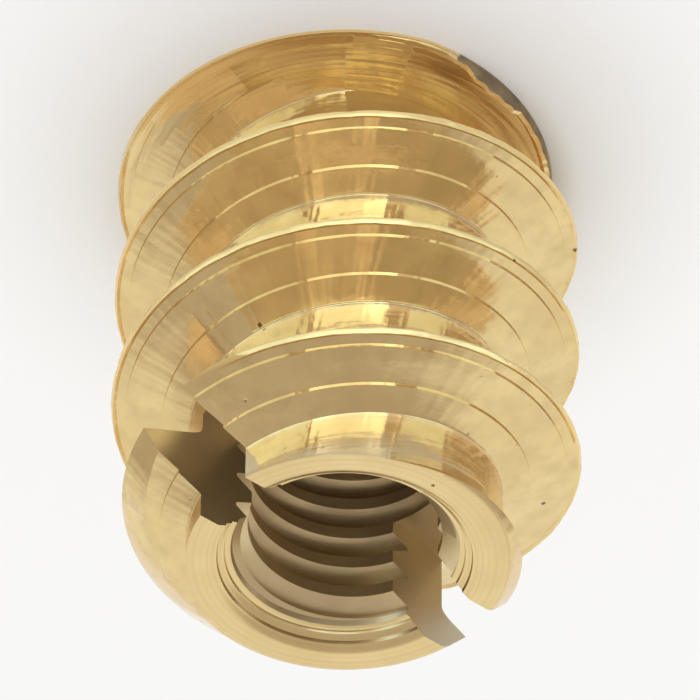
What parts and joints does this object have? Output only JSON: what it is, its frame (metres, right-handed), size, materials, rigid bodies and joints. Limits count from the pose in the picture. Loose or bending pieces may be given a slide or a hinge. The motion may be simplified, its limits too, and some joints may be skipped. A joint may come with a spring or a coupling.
{
  "type": "threaded insert",
  "caption": "Headless screw-in threaded insert for wood: coarse outer thread, fine inner thread, driver slot across one end.",
  "frame": {"origin": "centre of the plain end, which the insert stands on", "axes": "+Z along the bore towards the slotted end; +X along the driver slot; +Y across the slot"},
  "size_m": [0.012, 0.012, 0.013],
  "materials": {
    "brass": "bright turned brass, fine circumferential tool marks, matt where the saw cut the slot"
  },
  "bodies": {
    "root": {"insert": "brass"}
  },
  "joints": []
}
